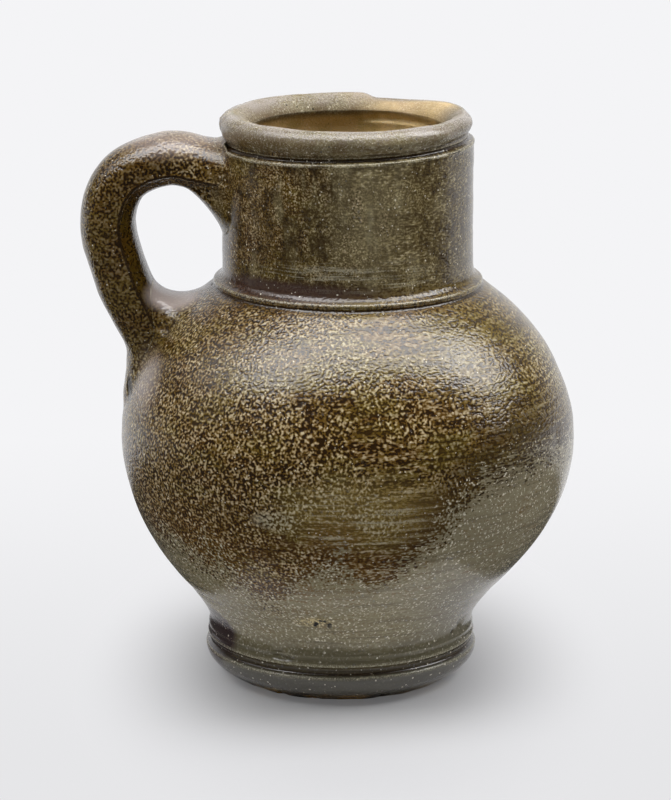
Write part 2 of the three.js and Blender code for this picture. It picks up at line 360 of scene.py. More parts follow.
def turned(clay, steps, weld):
    """Turns a bmesh once round the upright axis, and welds the seam and the poles."""
    geom = list(clay.verts) + list(clay.edges)
    bmesh.ops.spin(
        clay, geom=geom, axis=(0, 0, 1), cent=(0, 0, 0), angle=2 * math.pi, steps=steps, use_merge=True
    )
    bmesh.ops.remove_doubles(clay, verts=clay.verts, dist=weld)


def put(name, data):
    """An object made from its data and linked to the scene."""
    made = bpy.data.objects.new(name, data)
    bpy.context.scene.collection.objects.link(made)
    return made


def finished(name, clay):
    """Turns a bmesh in millimetres into a smooth object in metres."""
    bmesh.ops.recalc_face_normals(clay, faces=clay.faces)
    note_hollows(clay)
    bmesh.ops.scale(clay, vec=(MM, MM, MM), verts=clay.verts)
    mesh = bpy.data.meshes.new(name)
    clay.to_mesh(mesh)
    clay.free()
    mesh.shade_smooth()
    piece = put(name, mesh)
    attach(piece, "root")
    print(name, "has", len(mesh.polygons), "faces")
    return piece


wall = bmesh.new()
chain = [wall.verts.new((point.x, 0, point.y)) for point in outline]
for pair in zip(chain, chain[1:]):
    wall.edges.new(pair)
turned(wall, TURNS, 1e-4)
for vert in wall.verts:
    vert.co = weathered(vert.co)
body = finished("jug_body", wall)
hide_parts("thrown_body")

# %% [markdown]
# ## The line of the handle
# The handle is a strap pulled from a lump of clay with wet fingers, so it tapers a little towards its tail.
# It is easiest to make a straight tube first and then to bend it along the strap's centreline.
# The centreline lies in the plane y = 0, so each knot is a distance from the axis and a height.

# %% Centreline
TAIL_THICKNESS = 14.4


class Line:
    """A curve that can be read at any share of its length."""

    def __init__(self, knots):
        self.points = spline(knots, 24)
        self.lengths = [0.0]
        for a, b in zip(self.points, self.points[1:]):
            self.lengths.append(self.lengths[-1] + (b - a).length)
        self.length = self.lengths[-1]

    def at(self, share):
        """The point at a share of the length, and the direction of the curve there."""
        target = min(max(share, 0.0), 1.0) * self.length
        high = min(bisect_right(self.lengths, target), len(self.points) - 1)
        low = high - 1
        part = (target - self.lengths[low]) / (self.lengths[high] - self.lengths[low])
        way = self.points[min(high + 1, len(self.points) - 1)] - self.points[max(low - 1, 0)]
        return self.points[low].lerp(self.points[high], part), way.normalized()


def tail_knot(height, proud):
    """A knot of the tail, whose back stands proud of the belly."""
    return (wall_radius(height) + proud - TAIL_THICKNESS / 2, height)


root = [(31.3, 148.6), (40.3, 150.1), (50.8, 151.7)]
loop = [(63.6, 146.4), (68.4, 134.5), (64.7, 117.6), (60.2, 107.4)]
tail = [tail_knot(98.6, 7.4), tail_knot(91, 3.1), tail_knot(80.5, 0.4), tail_knot(74, -3.5)]
strap_line = Line(root + loop + tail)
print("the strap is", round(strap_line.length), "mm long")

# %% [markdown]
# ## The handle's section
# Across, the strap is a flattened oval: round on its back, flatter inside, with a faint arris where the
# fingers met. A superellipse gives that with one number for each side. The root is wider.

# %% Strap surface
HANDLE_WIDTH = 21.4
ROOT_WIDTH = 26.5
TAIL_WIDTH = 18.6
CROWN_THICKNESS = 15.0
HANDLE_THICKNESS = 15.8
BACK_ROUNDNESS = 2.2
INSIDE_ROUNDNESS = 2.8

# The arris is a ridge and the hollow a furrow beside it: where they lie round the strap, how high or deep
# they are as a share of the strap, and how far they spread
ARRIS = (math.radians(109), 0.05, 0.08)
HOLLOW = (math.radians(130), -0.04, 0.22)
LUMPS = ((0.09, 0.28), (0.33, 0.07))


def power(value, exponent):
    """A power that keeps the sign."""
    return math.copysign(abs(value) ** exponent, value)


def strap_size(share):
    """The strap's width and thickness at a share of its length."""
    taper = smooth(0.6, 1.0, share)
    width = HANDLE_WIDTH + (TAIL_WIDTH - HANDLE_WIDTH) * taper
    width += (ROOT_WIDTH - width) * smooth(0.13, 0.0, share)
    thickness = HANDLE_THICKNESS + (TAIL_THICKNESS - HANDLE_THICKNESS) * taper
    thickness += (CROWN_THICKNESS - thickness) * smooth(0.45, 0.2, share)
    return width, thickness


def strap(angle, share, size=1.0):
    """A point of the strap's surface. The angle is 0 on the back and half a turn inside the loop."""
    middle, way = strap_line.at(share)
    across = Vector((way.y, -way.x))
    faces_in = across.x < 0 if share > 0.3 else across.y < 0
    if faces_in:
        across = -across
    width, thickness = strap_size(share)
    roundness = 2 / (BACK_ROUNDNESS if math.cos(angle) > 0 else INSIDE_ROUNDNESS)
    turn = abs((angle + math.pi) % (2 * math.pi) - math.pi)
    ridges = 1.0
    for where, height, spread in (ARRIS, HOLLOW):
        ridges += height * math.exp(-(((turn - where) / spread) ** 2))
    out = power(math.cos(angle), roundness) * thickness / 2 * size * ridges
    side = power(math.sin(angle), roundness) * width / 2 * size * ridges
    flat = middle + across * out
    place = Vector((-flat.x, side, flat.y))
    lump = sum(noise.noise(place * pitch) * height for pitch, height in LUMPS)
    return place + Vector((-across.x, side / width, across.y)) * lump * size


print("width and thickness in the middle:", strap_size(0.5), "mm")

# %% [markdown]
# ## Bending the tube
# A circle is extruded again and again into a straight tube, and its ends are closed. Each point is then
# moved to the strap's surface by its angle and height. It also keeps whether it lies inside the loop, which
# turns to the neck and gets painted shade: a darker colour there.

# %% Make the handle
STRAP_SIDES = 128
STRAP_STEPS = 190


def tube(sides, steps):
    """A closed tube of radius 1 from z = 0 to z = 1."""
    made = bmesh.new()
    bmesh.ops.create_circle(made, segments=sides, radius=1.0, cap_ends=False)
    ring = first = list(made.edges)
    for _ in range(steps):
        grown = bmesh.ops.extrude_edge_only(made, edges=ring)["geom"]
        ring = [part for part in grown if isinstance(part, bmesh.types.BMEdge)]
        ring = [edge for edge in ring if all(vert in grown for vert in edge.verts)]
        corners = [part for part in grown if isinstance(part, bmesh.types.BMVert)]
        bmesh.ops.translate(made, vec=(0, 0, 1 / steps), verts=corners)
    bmesh.ops.contextual_create(made, geom=first)
    bmesh.ops.contextual_create(made, geom=ring)
    return made


straight = tube(STRAP_SIDES, STRAP_STEPS)
loop_shade_layer = straight.verts.layers.float.new("inside")
for vert in straight.verts:
    angle = math.atan2(vert.co.y, vert.co.x)
    vert[loop_shade_layer] = smooth(ARRIS[0], ARRIS[0] + 0.15, abs(angle))
    vert.co = strap(angle, vert.co.z)
handle = finished("jug_handle", straight)
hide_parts("handle")

# %% [markdown]
# ## Luting the handle on
# Where clay is stuck to clay, the potter presses a soft roll into the corner all round the root and smooths
# it hollow with a finger. First the corner itself has to be found: along each line of the strap, it is the
# place where the strap leaves the wall. Small steps and then halvings find it. A boolean would find it too,
# but would leave no even line of points.

# %% Find the corner
SEARCH_STEPS = 60
HALVINGS = 12


def outside_wall(place):
    """How far a point stands out from the wall of the body."""
    return math.hypot(place.x, place.y) - wall_radius(place.z)


def corner(angle, from_share, to_share):
    """The share of the strap's length at which the line at an angle leaves the wall."""
    before = from_share
    for i in range(1, SEARCH_STEPS + 1):
        share = from_share + (to_share - from_share) * i / SEARCH_STEPS
        if outside_wall(strap(angle, share)) > 0:
            break
        before = share
    for _ in range(HALVINGS):
        middle = (before + share) / 2
        if outside_wall(strap(angle, middle)) > 0:
            share = middle
        else:
            before = middle
    return share


def wall_normal(place):
    """The direction that points straight out of the wall."""
    slope = wall_radius(place.z + 0.5) - wall_radius(place.z - 0.5)
    radius = math.hypot(place.x, place.y)
    return Vector((place.x / radius, place.y / radius, -slope)).normalized()


def on_wall(place):
    """The point moved out or in to lie on the wall."""
    scale = wall_radius(place.z) / math.hypot(place.x, place.y)
    return Vector((place.x * scale, place.y * scale, place.z))


print("the strap leaves the neck at", round(corner(0, 0.0, 0.3), 3), "of its length")

# %% [markdown]
# ## Bending the webs
# A torus is the right start for a web, because the roll runs round the root and closes on itself.
# Each slice of it becomes a hollow fillet: one foot lies on the handle, the other on the wall, and the rest
# is buried. A bevel of the joined pieces would give one width all round, but the real webs are wide inside
# the loop and thin outside it.

# %% Bend a web round the root
WEB_SLICES = 120
WEB_STEPS = 30
SINK = 0.75
BURIED_SIZE = 0.93
SHOWN = 0.7


def corners_round(start, end):
    """The corner at every slice: its angle, its share of the strap's length and its place."""
    found = []
    for i in range(WEB_SLICES):
        angle = 2 * math.pi * i / WEB_SLICES
        share = corner(angle, start, end)
        found.append((angle, share, strap(angle, share)))
    return found


def web_slices(start, end, *widths):
    """For every slice, the corners of the curve that shows and of the curve that is buried."""
    corners = corners_round(start, end)
    middle = sum((place for _, _, place in corners), Vector()) / WEB_SLICES
    direction = 1 if end > start else -1
    slices = []
    for i, (angle, share, place) in enumerate(corners):
        inner = smooth(0.05, 1.0, -math.cos(angle))
        ahead = corners[(i + 2) % WEB_SLICES][2]
        behind = corners[i - 2][2]
        out = (ahead - behind).cross(wall_normal(place)).normalized()
        if out.dot(place - middle) < 0:
            out = -out
        up_handle, along_wall, pull = (least + more * inner for least, more in widths)
        reach = share + direction * up_handle / strap_line.length
        top = strap(angle, reach)
        foot = on_wall(place + out * along_wall)
        shown = [top, top.lerp(place, pull), foot.lerp(place, pull), foot]
        under_top = strap(angle, reach, BURIED_SIZE)
        under_foot = foot - wall_normal(foot) * SINK
        deep = place.lerp((under_top + under_foot) / 2, 0.25)
        slices.append((shown, [under_foot, deep, deep, under_top]))
    return slices


def web(name, start, end, *widths):
    """A roll of clay smoothed round a root. Each width is a least one and what the loop's inside adds."""
    slices = web_slices(start, end, *widths)
    roll = bmesh.new()
    bmesh.ops.create_circle(roll, segments=WEB_STEPS, radius=0.25)
    bmesh.ops.translate(roll, vec=(1, 0, 0), verts=roll.verts)
    bmesh.ops.rotate(roll, matrix=Matrix.Rotation(math.pi / 2, 3, "X"), cent=(0, 0, 0), verts=roll.verts)
    turned(roll, WEB_SLICES, 1e-5)
    for vert in roll.verts:
        slice_number = round(math.atan2(vert.co.y, vert.co.x) / (2 * math.pi) * WEB_SLICES) % WEB_SLICES
        shown, buried = slices[slice_number]
        ring = math.atan2(vert.co.z, math.hypot(vert.co.x, vert.co.y) - 1) / (2 * math.pi) % 1.0
        if ring < SHOWN:
            vert.co = curve_point(shown, ring / SHOWN)
        else:
            vert.co = curve_point(buried, (ring - SHOWN) / (1 - SHOWN))
    return finished(name, roll)


# How far each web reaches up the handle and along the wall, and how full it is
upper_web = web("jug_upper_luting", 0, 0.3, (2.2, 9), (1.6, 10), (0.55, -0.25))
lower_web = web("jug_lower_luting", 0.99, 0.5, (2, 10.5), (1.8, 12), (0.6, -0.12))
for piece, node in ((upper_web, "upper_handle_luting"), (lower_web, "lower_handle_luting")):
    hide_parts(node)

# %% [markdown]
# ## A small language for shaders
# A shader is a chain of nodes, and sums written as nodes are hard to read. This class wraps one output,
# so that an ordinary expression such as `1 - mask * 0.5` adds the Math nodes by itself.

# %% Wrap a socket


class Value:
    """A number, colour or direction that changes over a surface."""

    def __init__(self, nodes, socket):
        self.nodes = nodes
        self.socket = socket

    def maths(self, operation, *numbers):
        return self.nodes.node("Math", dict(enumerate(numbers)), {"operation": operation})

    def __add__(self, other):
        return self.maths("ADD", self, other)

    __radd__ = __add__

    def __sub__(self, other):
        return self.maths("SUBTRACT", self, other)

    def __rsub__(self, other):
        return self.maths("SUBTRACT", other, self)

    def __mul__(self, other):
        return self.maths("MULTIPLY", self, other)

    __rmul__ = __mul__

    def step(self, low, high):
        """A soft step from 0 at low to 1 at high, which also runs downwards."""
        numbers = (self, low, high, 0.0, 1.0) if low < high else (self, high, low, 1.0, 0.0)
        return self.nodes.node("MapRange", dict(enumerate(numbers)), {"interpolation_type": "SMOOTHSTEP"})

    def limited(self):
        """The same number, kept between 0 and 1."""
        return self.nodes.node("Clamp", {0: self, 1: 0.0, 2: 1.0})


class Nodes:
    """A tree of shader nodes, of a material or of the surroundings."""

    def __init__(self, tree):
        self.tree = tree

    def node(self, kind, sockets=None, settings=None, output=0):
        """Adds a node, with a number or link for each socket, and gives one of its outputs."""
        made = self.tree.nodes.new("ShaderNode" + kind)
        for key, setting in (settings or {}).items():
            setattr(made, key, setting)
        for key, given in (sockets or {}).items():
            self.feed(made.inputs[key], given)
        return Value(self, made.outputs[output])

    def feed(self, socket, given):
        """Links a value to a socket, or sets a plain number or colour on it."""
        if isinstance(given, Value):
            self.tree.links.new(given.socket, socket)
        else:
            socket.default_value = given

    def blend(self, mask, under, over):
        """One colour laid over another, as far as a mask lets it."""
        return self.node("Mix", {0: mask, 6: under, 7: over}, {"data_type": "RGBA"}, output=2)

    def vector(self, operation, *given, output=0):
        """Maths on directions and places."""
        return self.node("VectorMath", dict(enumerate(given)), {"operation": operation}, output=output)

    def noise(self, place, pitch, detail=2.0, roughness=0.5, output=0):
        """Clouds of a given size in millimetres."""
        sockets = {"Vector": place, "Scale": 1 / pitch, "Detail": detail, "Roughness": roughness}
        return self.node("TexNoise", sockets, output=output)

    def cells(self, place, pitch):
        """Cells of a given size in millimetres: the distance from the middle of each."""
        return self.node("TexVoronoi", {"Vector": place, "Scale": 1 / pitch})

    def part(self, place, axis):
        """How far a place lies along one axis: 0 is x, 1 is y and 2 is z."""
        return self.node("SeparateXYZ", {0: place}, output=axis)

    def report(self, step):
        print(step, "done:", len(self.tree.nodes), "nodes so far")


class Finish(Nodes):
    """A material, and the nodes that it is made of."""

    def __init__(self, name):
        self.material = bpy.data.materials.new(name)
        self.material.use_nodes = True
        super().__init__(self.material.node_tree)
        self.shader = self.tree.nodes["Principled BSDF"]

    def give(self, name, given):
        """Sets one of the shader's own inputs."""
        self.feed(self.shader.inputs[name], given)


def colour(red, green, blue):
    """A colour as a screen shows it, 0 to 255, turned into the light that it stands for."""
    light = [((c / 255 + 0.055) / 1.055) ** 2.4 if c > 10 else c / 255 / 12.92 for c in (red, green, blue)]
    return (*light, 1.0)


print("a mid grey of 128 stands for", round(colour(128, 128, 128)[0], 3), "of the light")

# %% [markdown]
# ## Salt glaze
# The salt draws the glass into fine beads, as on orange peel, and an iron wash under it gathers between the
# beads: pale crests on a dark brown ground. Where the wash is thin, the grey clay shows. An image could be
# wrapped round the jug, but a pattern worked out from the place in space has no seam and stays sharp.

# %% Colours of clay, wash and glass
GREY_CLAY = colour(131, 122, 94)
GREY_BEAD = colour(174, 168, 144)
DARK_CLAY = colour(66, 56, 28)
# The iron wash's dark brown, which is also laid as painted shade inside the handle's loop and in hollows.
WASH_AND_SHADE_BROWN = colour(38, 22, 2)
AMBER_GLASS = colour(94, 70, 20)
RUST_GLASS = colour(84, 58, 14)
PALE_GLASS = colour(134, 112, 56)
AMBER_STAIN = colour(104, 72, 20)
TAN_BEAD = colour(162, 143, 106)
OLIVE_GLASS = colour(94, 78, 24)
OLIVE_BEAD = colour(152, 140, 96)
BEAD_TOP_AND_GLINT = colour(220, 208, 178)
NECK_OLIVE = colour(98, 84, 50)
NECK_PALE = colour(134, 124, 94)
NECK_DARK = colour(44, 30, 4)
LOW_WASH = colour(66, 40, 2)
PURPLE_SKIN = colour(60, 42, 40)
SHEEN_PALE = colour(190, 176, 170)
SPECK = colour(236, 228, 208)
SCAR_TAN = colour(190, 172, 124)
# Near black for the pits and the slit in the tail: painted shade in the holes.
HOLE_SHADE = colour(10, 6, 2)
BARE_CLAY = colour(160, 153, 146)
FOOT_PURPLE = colour(52, 38, 37)
FOOT_CLAY = colour(80, 76, 58)
FOOT_GREY = colour(78, 76, 72)
FOOT_DARK = colour(46, 36, 18)
FOOT_OCHRE = colour(138, 106, 50)
BASE_CLAY = colour(150, 136, 114)
BASE_DUST = colour(120, 104, 80)
RIM_BROWN = colour(92, 72, 42)
# Both inside colours are painted lighter than the clay, as painted light, because little light reaches
# inside.
INSIDE_BROWN_LIT = colour(182, 156, 92)
PINK_CLAY = colour(168, 144, 112)
INSIDE_ORANGE_LIT = colour(222, 192, 134)

print("brown wash as light:", [round(part, 3) for part in WASH_AND_SHADE_BROWN[:3]])

# %% [markdown]
# ## Where things lie on the jug
# No jug is the same all round: the flame reached one side first, the wash ran thin low down, and hands and
# kiln props left marks. Each such place is written as a middle and a reach, in millimetres from the axis and
# the table, and becomes a soft round mask. Painting the masks by hand would need a picture for each.

# %% Places
DARK_BAND = ((12, -60, 85), (38, 28, 11))
LOW_TONGUE = ((8, -60, 48), (6, 20, 30))
PALE_BELLY = ((4, -62, 65), (21, 24, 10))
NECK_SHEEN_SPOT = ((6, -34, 142), (9, 12, 18))
AMBER_CLOUD = ((-18, -48, 38), (22, 20, 16))
RIGHT_BELT = ((46, -42, 79), (26, 32, 10))
BELLY_LINES = ((2, -62, 64), (20, 20, 9))
NECK_LINES = ((0, -36, 124), (24, 20, 5))
ABOVE_CORDON = ((-18, -28, 119.8), (28, 20, 2.8))
FOOT_PATCH = ((-37.5, -13, 16), (8.5, 14, 8))
FOOT_PATCH_END = ((-40, -8, 10), (6, 12, 6))
SADDLE = ((-50, -4, 113.5), (7.5, 11, 4.5))
CROWN = ((-50, -4, 160), (17, 16, 6))
TAIL_SIDE = ((-57, -19, 91), (4.5, 9, 8))
TAIL_SLIT = ((-62.6, -11, 86.5), (0.9, 8, 3.4))
SCAR = ((-9.5, -43, 27.2), (5, 6, 1.7))
SCAR_PITS = ((-9, -43, 27), (5, 6, 1.7))
GREY_DROP = ((-20, -61, 62), (6, 6, 2.6))

glaze = Finish("salt_glaze")
place = glaze.node("TexCoord", output=3)
place = glaze.vector("MULTIPLY", place, (1000, 1000, 1000))
rightward, backward, height = (glaze.part(place, axis) for axis in range(3))
hollow = glaze.node("Attribute", {}, {"attribute_name": "hollow"}, output=2)
loop_shade = glaze.node("Attribute", {}, {"attribute_name": "inside"}, output=2)


def spot(where, soft=0.5):
    """A soft round mask about a place on the jug."""
    centre, reach = where
    away = glaze.vector("SUBTRACT", place, centre)
    away = glaze.vector("DIVIDE", away, reach)
    return glaze.vector("LENGTH", away, output=1).step(1 + soft, 1 - soft)


class Layers:
    """A colour built up in layers."""

    def __init__(self, ground):
        self.colour = ground

    def lay(self, mask, colour):
        """Lays a colour over what is there, as far as the mask lets it."""
        self.colour = glaze.blend(mask, self.colour, colour)


def stretched(where, *factors):
    """The place with each direction multiplied, which stretches any pattern made from it."""
    return glaze.vector("MULTIPLY", where, factors)


# %% Zones
wall_only = rightward.step(-44, -40)
handle_zone = rightward.step(-44, -54) * height.step(88, 100)
neck_zone = height.step(116, 124) * rightward.step(-40, -36)
rim_zone = height.step(157, 161)
cordon_zone = height.step(113.6, 115.2) * height.step(121.5, 119.5) * wall_only
shoulder_zone = height.step(90, 108) * (1 - neck_zone) * wall_only
off_neck = 1 - neck_zone
right = rightward.step(16, 40)
radius = glaze.vector("LENGTH", stretched(place, 1, 1, 0), output=1)
mouth = radius.step(33.5, 31.5) * height.step(120, 140)
under = height.step(0.5, 0.15) * radius.step(30.5, 28.5)
glaze.report("zones")

# %% [markdown]
# ## The pattern of the beads
# Seen close up, the beads are short worms rather than dots. Soft noise cut at its middle gives such worms,
# and cells break them into grains. The place is warped a little first, so that no rows show. On the right
# the worms lie level, because the wash was pulled round there as the wheel turned.

# %% Slow and fine clouds
grain = glaze.noise(place, 0.42, 1.0)
swell = glaze.noise(place, 9.0, 1.0)
cloud = glaze.noise(place, 14.0, 3.0, 0.6)
level = stretched(place, 1, 1, 9)
streak = glaze.noise(level, 7.0, 3.0, 0.6)
ring = glaze.noise(stretched(place, 0.05, 0.05, 1), 1.1, 2.0, 0.6)
run = glaze.noise(stretched(place, 1, 1, 0.3), 5.0, 2.0)
glaze.report("clouds")

# %% Beads of glass
BEAD_PITCH = 0.74
NECK_BEAD_PITCH = 0.55
LEVEL_BEAD_PITCH = 0.66
FINE_CELL = 0.95
COARSE_CELL = 1.1

drift = glaze.noise(place, 2.2, 1.0, output=1)
drift = glaze.vector("SUBTRACT", drift, (0.5, 0.5, 0.5))
warped = glaze.vector("MULTIPLY_ADD", drift, (0.8, 0.8, 0.8), place)
neck_worm = glaze.noise(warped, NECK_BEAD_PITCH, 1.0)
round_worm = glaze.noise(warped, BEAD_PITCH, 0.4) * off_neck + neck_worm * neck_zone
level_worm = glaze.noise(stretched(warped, 0.55, 0.55, 1.25), LEVEL_BEAD_PITCH, 0.4)
levelled = (glaze.noise(place, 16.0, 1.0) + rightward * 0.006).step(0.5, 0.65)
worm = round_worm + (level_worm - round_worm) * levelled * 0.8
dark_band = spot(DARK_BAND, 0.7) * 0.55
coarse = ((swell + (streak - 0.5) * 0.5).step(0.5, 0.6) * 0.5 + dark_band).limited() * off_neck
coarse = coarse * (1 - handle_zone * 0.8)
fine_bead = (worm - 0.5) * 4.0 + (0.5 - glaze.cells(warped, FINE_CELL)) * 0.5
coarse_bead = (worm - 0.5) * 2.4 + (0.46 - glaze.cells(warped, COARSE_CELL)) * 2.2
rows = (ring - 0.5) * levelled * off_neck
bead = fine_bead + (coarse_bead - fine_bead) * coarse + (grain - 0.5) * 0.6 - rows * 2.2
gap = bead.step(-0.04, -0.42)
tip = bead.step(0.02, 0.45)
glint = bead.step(0.42, 0.9)
glaze.report("beads")

# %% [markdown]
# ## Where the iron wash lies
# The wash was poured over the upper part and ends low on the belly in a ragged line: lower on the left, with
# one tongue in front, and much higher on the right. The line is a height that changes with the place, made
# ragged by clouds, and everything below it is bare grey clay under clear glass.

# %% The line of the wash
low_edge = 35 + 12 * rightward.step(-22, -38) + 16 * rightward.step(-22, -6) + 23 * rightward.step(12, 46)
low_edge = low_edge - 9 * spot(LOW_TONGUE)
blotch = ((cloud - 0.5) * 22 + (swell - 0.5) * 14) * (1 - right * 0.7)
blotch = blotch + (streak - 0.5) * 16 + (0.5 - worm) * 36
above = height - low_edge + blotch
wash = above.step(-2.5, 3.5) * (1 - rim_zone * 0.6)
bare = 1 - wash
fringe = above.step(16, 2) * wash * (1 - right)
dark_edge = above.step(15, 5) * above.step(-1, 2) * rightward.step(0, 25) * (1 - right * 0.3)
glaze.report("wash")

# %% Thick and thin glass, and a painted sheen on the neck
pale_glass = spot(PALE_BELLY) * 0.85
glassy = (glaze.noise(stretched(place, 1, 1, 2.4), 22.0, 2.0) + (streak - 0.5) * 0.5).step(0.46, 0.6)
glassy = glassy + rightward.step(12, 36) * 0.6 + neck_zone * (run + rightward * 0.008).step(0.38, 0.5)
glassy = glassy + pale_glass - rightward.step(-10, -40) * 0.4
glassy = (glassy - dark_band * 0.8).limited()
rust = (glaze.noise(place, 8.0, 2.0).step(0.45, 0.65) + above.step(12, 2)).limited()
neck_run = (run + (cloud - 0.5) * 0.6).step(0.52, 0.7)
# Pale runs on the neck are glass; the pale spot on its front is a painted sheen.
runs_and_sheen = neck_zone * (neck_run * 0.4 + spot(NECK_SHEEN_SPOT, 0.8) * 0.6)
drips = glaze.noise(stretched(place, 1, 1, 0.14), 3.4, 2.0).step(0.52, 0.7) * neck_zone
mottle = glaze.noise(stretched(warped, 1, 1, 0.7), 4.2, 4.0, 0.8)
glaze.report("glass")

# %% [markdown]
# ## Colour, one layer over another
# A painter would lay the ground first, then the dark gaps, then the pale crests, and the marks last. So does
# this: each mask says where a layer lies and how strong.

# %% Ground between the beads
skin = Layers(AMBER_GLASS)
skin.lay(rust, RUST_GLASS)
skin.lay(glassy * 0.8, OLIVE_GLASS)
skin.lay(pale_glass, PALE_GLASS)
skin.lay(neck_zone * (rightward + (run - 0.5) * 40).step(-24, -4), NECK_OLIVE)
skin.lay(fringe * 0.7, AMBER_STAIN)
skin.lay(runs_and_sheen.limited(), NECK_PALE)
skin.lay(bare.limited(), GREY_CLAY)
glaze.report("ground")

# %% Gaps and crests
gap_depth = 0.25 + wash * 0.75 - glassy * 0.25 - runs_and_sheen * 0.3 - pale_glass * 0.3
gap_depth = (gap_depth - fringe * 0.3 - neck_zone * 0.2).limited()
wash_colour = glaze.blend(height.step(74, 50) * 0.85, WASH_AND_SHADE_BROWN, LOW_WASH)
skin.lay(gap * gap_depth, glaze.blend(wash, DARK_CLAY, wash_colour))
crest = glaze.blend(glassy * 0.8, TAN_BEAD, OLIVE_BEAD)
crest = glaze.blend(wash, GREY_BEAD, crest)
# Inside the handle's loop the crests are dimmed as painted shade.
show = 1 - handle_zone * 0.5 - rightward.step(-16, -40) * 0.25 - loop_shade * 0.3
# The shoulder faces the overhead light, so its crests are dimmed there: painted shade that tempers that
# light.
show = show - neck_zone * 0.18 - cordon_zone * 0.5 - shoulder_zone * 0.3
show = show - levelled * off_neck * 0.35 - dark_edge * 0.3
skin.lay(tip * (0.2 + wash * 0.65 - rim_zone * 0.05) * show, crest)
# The glint is the palest top of each bead: partly its own pale glass, partly a painted highlight.
skin.lay(glint * (0.2 + wash * 0.3) * show, BEAD_TOP_AND_GLINT)
glaze.report("gaps and crests")

# %% Darker places
dark_neck = (mottle + (grain - 0.5) * 0.2 + (worm - 0.5) * 0.3).step(0.48, 0.62) * neck_zone
belt = spot(RIGHT_BELT, 0.6) * (streak + worm * 0.5).step(0.6, 0.85)
neck_side = neck_zone * rightward.step(16, 34)
low_right = height.step(46, 32) * rightward.step(8, 32)
stain = (glaze.noise(level, 9.0, 3.0, 0.6) + spot(AMBER_CLOUD) * 0.1).step(0.52, 0.68)
stain = stain * bare * (grain + worm).step(1.05, 0.85) * (0.4 + height.step(26, 42) * 0.35)
# The face inside the loop turns to the neck, so it gets painted shade: a browner colour.
skin.lay(loop_shade * 0.2, WASH_AND_SHADE_BROWN)
skin.lay((dark_edge * 0.5 + handle_zone * 0.2).limited(), WASH_AND_SHADE_BROWN)
skin.lay(ring.step(0.52, 0.7) * 0.3, WASH_AND_SHADE_BROWN)
skin.lay(drips * (1 - rim_zone) * 0.3, WASH_AND_SHADE_BROWN)
skin.lay(dark_neck * (1 - rim_zone) * (1 - runs_and_sheen) * 0.85, NECK_DARK)
skin.lay(stain, AMBER_STAIN)
skin.lay(bare * (right * 0.2 + low_right * 0.35).limited(), FOOT_GREY)
skin.lay((belt * 0.6 + neck_side * 0.38).limited(), WASH_AND_SHADE_BROWN)
glaze.report("darker places")

# %% Flecks and thrown lines
flecks = (grain * 0.7 + round_worm).step(1.02, 1.14) * bare
thrown_lines = spot(BELLY_LINES) + spot(NECK_LINES, 0.4)
line_strength = ring.step(0.52, 0.36) * (grain + streak).step(0.8, 1.1)
skin.lay(flecks * 0.55, SPECK)
skin.lay(line_strength * thrown_lines.limited() * 0.6, GREY_BEAD)
glaze.report("flecks and lines")

# %% [markdown]
# ## Smooth and pooled glass, painted sheen and painted shade
# Above the cordon and on one side of the foot the glass is smooth and purple. The saddle under the handle,
# its crown and one side of its tail are painted pale, as a painted sheen where the overhead light catches
# them. Glass runs off every edge and gathers in every groove, so edges go pale and grooves dark; the pale
# edges are partly a painted highlight and the dark grooves partly painted shade. The mesh tells where, by
# how hollow it is at each point.

# %% Foot, saddle and crown
above_cordon = spot(ABOVE_CORDON, 0.4) * (0.6 + worm * 0.6)
foot_patch = spot(FOOT_PATCH, 0.2) + spot(FOOT_PATCH_END, 0.3)
smooth_skin = (above_cordon * 0.9 + foot_patch).limited()
tail_sheen = spot(TAIL_SIDE, 0.7) * (0.5 + grain)
# The saddle, the crown and one side of the tail get a painted sheen where the overhead light catches them.
painted_sheen = (spot(SADDLE, 0.35) + spot(CROWN) * 0.4 + tail_sheen * 0.4).limited()
skin.lay((height + (cloud - 0.5) * 8).step(22, 14) * 0.7, FOOT_CLAY)
skin.lay(height.step(11.5, 8.5) * 0.8, FOOT_GREY)
skin.lay(smooth_skin, glaze.blend(foot_patch.limited(), PURPLE_SKIN, FOOT_PURPLE))
skin.lay(painted_sheen * 0.85, SHEEN_PALE)
glaze.report("foot and saddle")

# %% Slit, scar and drop
slit = spot(TAIL_SLIT, 0.3)
scar = spot(SCAR) * (grain * 1.4 + worm).step(1.15, 1.4)
drop = spot(GREY_DROP) * (worm + swell).step(0.9, 1.1)
# The slit is painted near black, as painted shade in it.
skin.lay(slit * 0.95, HOLE_SHADE)
skin.lay(scar * 0.9, SCAR_TAN)
skin.lay(drop * 0.5, GREY_BEAD)
glaze.report("slit and scar")

# %% Grooves, edges, pits and specks
ridges = height.step(12, 12.6) * height.step(17.5, 16.5)
pit_field = glaze.cells(place, 2.2) + (swell - 0.5) * 0.5
pitted = spot(SCAR_PITS) * 0.2
pits = (pit_field - pitted).step(0.16, 0.08) * (1 - smooth_skin) * (0.4 + rim_zone * 0.6 + pitted * 4)
speck_field = glaze.cells(warped, 1.7) + glaze.noise(place, 5.0, 1.0) * 0.3 + wash * 0.05
specks = (speck_field - neck_zone * 0.015).step(0.33, 0.22)
# Hollows get dark brown: partly glass pooled in grooves and creases, partly painted shade. Edges get pale
# grey: partly glass run thin, partly a painted highlight.
skin.lay(hollow.step(0.1, 0.4) * (0.9 - ridges * 0.5), WASH_AND_SHADE_BROWN)
skin.lay(hollow.step(-0.15, -0.5) * (grain.step(0.4, 0.65) * 0.6 + 0.1), GREY_BEAD)
# Pits are painted near black, as painted shade in the holes.
skin.lay(pits * 0.9, HOLE_SHADE)
skin.lay(specks * 0.7, SPECK)
glaze.report("grooves and pits")

